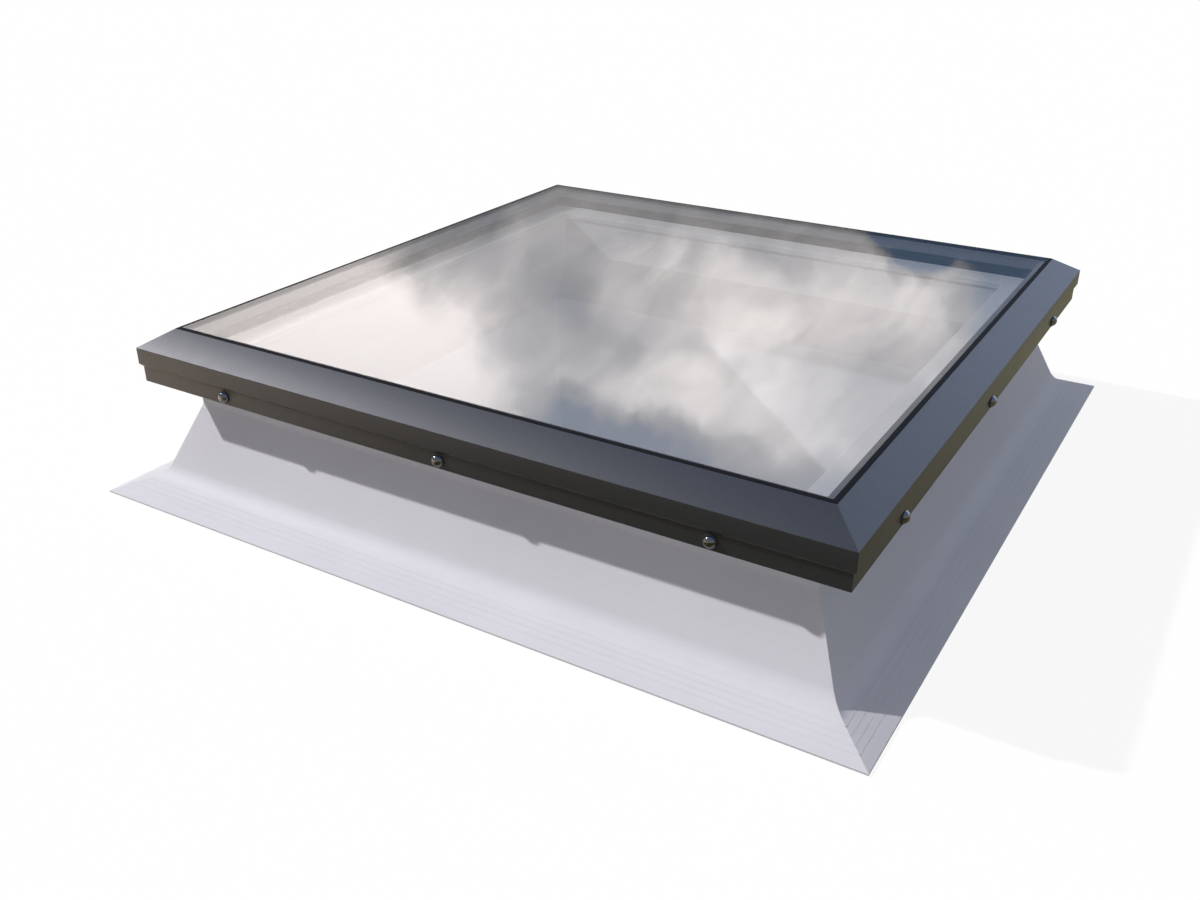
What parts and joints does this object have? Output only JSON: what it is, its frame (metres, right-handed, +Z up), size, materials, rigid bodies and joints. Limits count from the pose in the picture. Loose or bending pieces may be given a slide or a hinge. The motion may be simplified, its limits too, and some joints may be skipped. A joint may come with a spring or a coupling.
{
  "type": "roof skylight",
  "caption": "Fixed flat-glass roof skylight: flush double-glazed pane in a dark bevelled metal cap frame on a white splayed kerb with a sloping flange, to light a room through a flat roof.",
  "frame": {"origin": "centre of the roof opening, on the roof deck that the kerb's flange lies on", "axes": "+Z up out of the roof, +X and +Y along the sides; the side towards -Y is the long one at the left of the picture's near corner and the side towards +X the one at its right"},
  "size_m": [1.06, 1.06, 0.2234],
  "materials": {
    "kerb": "white PVC-U extrusion, satin",
    "glazing_frame": "white PVC-U extrusion, satin",
    "cap": "anthracite powder coat, fine texture",
    "cleat": "mill finish",
    "glass": "clear float glass",
    "spacer": "grey warm-edge spacer bar",
    "edge_seal": "black polysulphide",
    "gasket": "black EPDM, matte",
    "kerb_seal": "pale grey closed-cell EPDM foam",
    "packer": "black moulded plastic",
    "screw": "polished stainless domed head",
    "washer": "grey EPDM sealing washer"
  },
  "bodies": {
    "root": {"kerb_front": "kerb", "kerb_right": "kerb", "kerb_back": "kerb", "kerb_left": "kerb", "glazing_frame_front": "glazing_frame", "glazing_frame_right": "glazing_frame", "glazing_frame_back": "glazing_frame", "glazing_frame_left": "glazing_frame", "cap_front": "cap", "cap_right": "cap", "cap_back": "cap", "cap_left": "cap", "cleat_front_right": "cleat", "cleat_back_right": "cleat", "cleat_back_left": "cleat", "cleat_front_left": "cleat", "outer_pane": "glass", "inner_pane": "glass", "spacer": "spacer", "edge_seal": "edge_seal", "bed_gasket_front": "gasket", "bed_gasket_right": "gasket", "bed_gasket_back": "gasket", "bed_gasket_left": "gasket", "rim_gasket_front": "gasket", "rim_gasket_right": "gasket", "rim_gasket_back": "gasket", "rim_gasket_left": "gasket", "kerb_seal_front": "kerb_seal", "kerb_seal_right": "kerb_seal", "kerb_seal_back": "kerb_seal", "kerb_seal_left": "kerb_seal", "edge_packers": "packer", "screws": "screw", "washers": "washer"}
  },
  "joints": []
}
